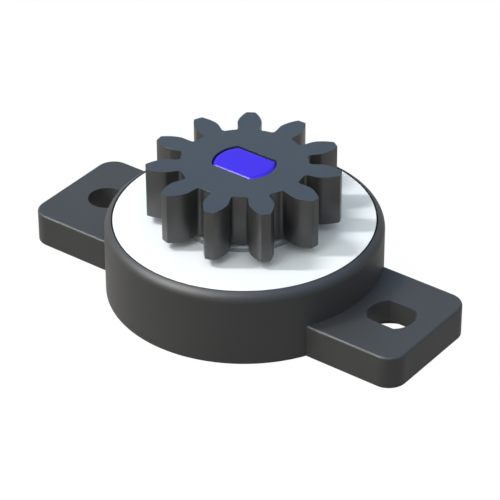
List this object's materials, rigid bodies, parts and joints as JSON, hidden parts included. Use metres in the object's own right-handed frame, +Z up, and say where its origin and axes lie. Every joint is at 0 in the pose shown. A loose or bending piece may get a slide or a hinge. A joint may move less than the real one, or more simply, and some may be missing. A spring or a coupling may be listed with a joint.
{
  "type": "rotary damper",
  "caption": "Small viscous rotary damper: round case with mounting ears, flush cap, and a spur pinion on a flatted shaft end.",
  "frame": {"origin": "on the shaft's axis, on the base that the damper is screwed down by", "axes": "+Z up the shaft, from the base to the pinion; +X through the ears, towards the slotted hole"},
  "size_m": [0.0242, 0.015, 0.0077],
  "materials": {
    "charcoal_plastic": "moulded acetal, satin",
    "white_plastic": "moulded acetal, satin",
    "blue_plastic": "moulded acetal, smooth",
    "black_rubber": "moulded rubber"
  },
  "bodies": {
    "housing": {"case": "charcoal_plastic", "cap": "white_plastic", "o_ring": "black_rubber"},
    "spinner": {"rotor": "blue_plastic", "gear": "charcoal_plastic"}
  },
  "joints": [
    {"name": "shaft_spin", "type": "hinge", "parent": "housing", "child": "spinner", "pos_m": [0, 0, 0.00455], "axis": [0, 0, 1], "continuous": true}
  ]
}
